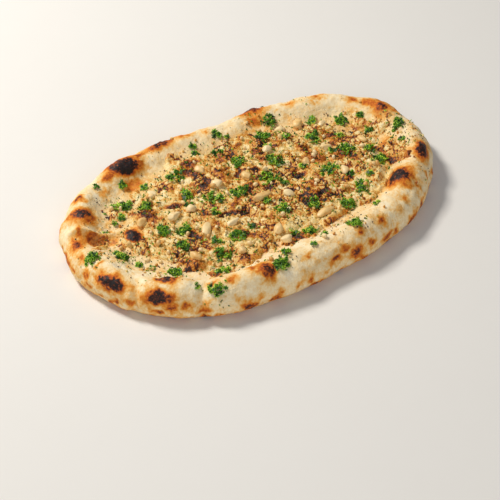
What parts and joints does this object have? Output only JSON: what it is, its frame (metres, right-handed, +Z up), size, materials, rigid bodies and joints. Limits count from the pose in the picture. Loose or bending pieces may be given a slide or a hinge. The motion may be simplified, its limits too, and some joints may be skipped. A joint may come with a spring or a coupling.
{
  "type": "topped naan bread",
  "caption": "Oval leavened flatbread with a puffed, charred rim and a sunken middle strewn with chopped nuts and curly parsley.",
  "frame": {"origin": "middle of the bread's plan outline, on the table plane that its flat underside rests on", "axes": "+X along the bread's length, +Y across it towards the edge with the lower rim, +Z up"},
  "size_m": [0.29, 0.175, 0.0282],
  "materials": {
    "crust": "baked dough, matte, toasted and charred in spots",
    "nut": "roasted nut, slightly oily",
    "parsley": "fresh leaf, satin",
    "crumb": "granular nut and garlic crumb, oily"
  },
  "bodies": {
    "root": {"naan_bread": "crust", "nut_01": "nut", "nut_02": "nut", "nut_03": "nut", "nut_04": "nut", "nut_05": "nut", "nut_06": "nut", "nut_07": "nut", "nut_08": "nut", "nut_09": "nut", "nut_10": "nut", "nut_11": "nut", "nut_12": "nut", "nut_13": "nut", "nut_14": "nut", "nut_15": "nut", "nut_16": "nut", "nut_17": "nut", "nut_18": "nut", "nut_19": "nut", "nut_20": "nut", "nut_21": "nut", "nut_22": "nut", "nut_23": "nut", "nut_24": "nut", "parsley_01": "parsley", "parsley_02": "parsley", "parsley_03": "parsley", "parsley_04": "parsley", "parsley_05": "parsley", "parsley_06": "parsley", "parsley_07": "parsley", "parsley_08": "parsley", "parsley_09": "parsley", "parsley_10": "parsley", "parsley_11": "parsley", "parsley_12": "parsley", "parsley_13": "parsley", "parsley_14": "parsley", "parsley_15": "parsley", "parsley_16": "parsley", "parsley_17": "parsley", "parsley_18": "parsley", "parsley_19": "parsley", "parsley_20": "parsley", "parsley_21": "parsley", "parsley_22": "parsley", "parsley_23": "parsley", "parsley_24": "parsley", "parsley_25": "parsley", "parsley_26": "parsley", "parsley_27": "parsley", "parsley_28": "parsley", "parsley_29": "parsley", "parsley_30": "parsley", "parsley_31": "parsley", "parsley_32": "parsley", "parsley_33": "parsley"}
  },
  "joints": []
}
